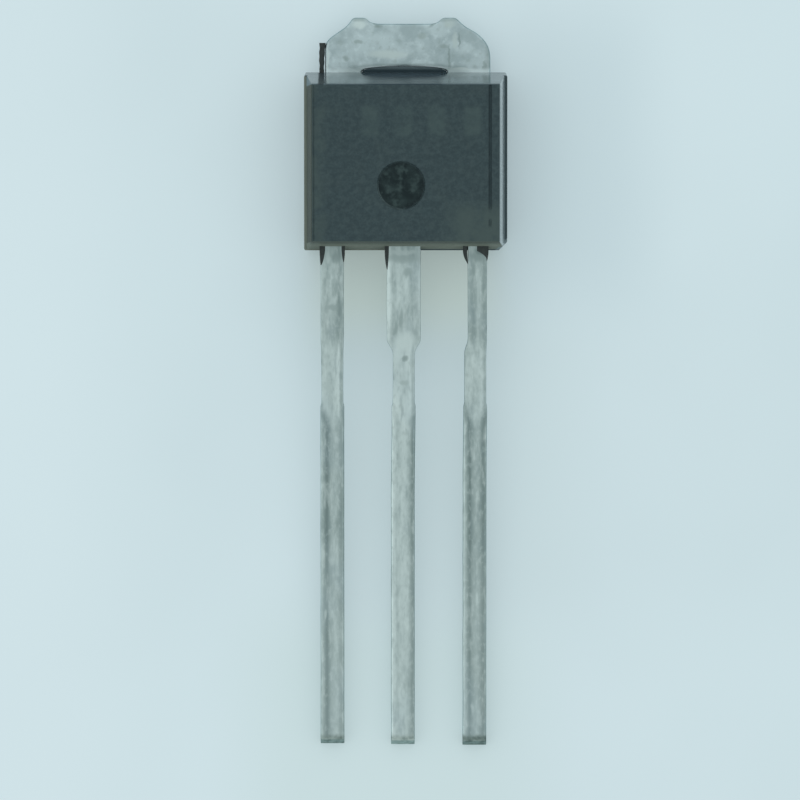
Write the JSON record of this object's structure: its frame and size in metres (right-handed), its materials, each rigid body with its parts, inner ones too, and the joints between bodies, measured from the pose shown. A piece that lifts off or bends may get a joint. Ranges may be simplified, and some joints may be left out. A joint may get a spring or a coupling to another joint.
{
  "type": "power mosfet",
  "caption": "Through-hole power transistor: a moulded block on a bare metal tab, with long straight leads in a row.",
  "frame": {"origin": "on the bare back of the heat sink, at the middle of the moulded body", "axes": "+X across the leads from gate to source, +Y towards the tab, +Z out of the front face of the body"},
  "size_m": [0.0066, 0.0233, 0.0023],
  "materials": {
    "resin": "moulded epoxy, satin",
    "tinned_copper": "dull tin plate over copper",
    "solder": "soft solder",
    "silicon": "polished silicon",
    "bond_aluminium": "drawn wire"
  },
  "bodies": {
    "root": {"moulded_body": "resin", "drain_frame": "tinned_copper", "gate_lead": "tinned_copper", "source_lead": "tinned_copper", "die_attach": "solder", "mosfet_die": "silicon", "gate_bond_wire": "bond_aluminium", "source_bond_wire": "bond_aluminium"}
  },
  "joints": []
}
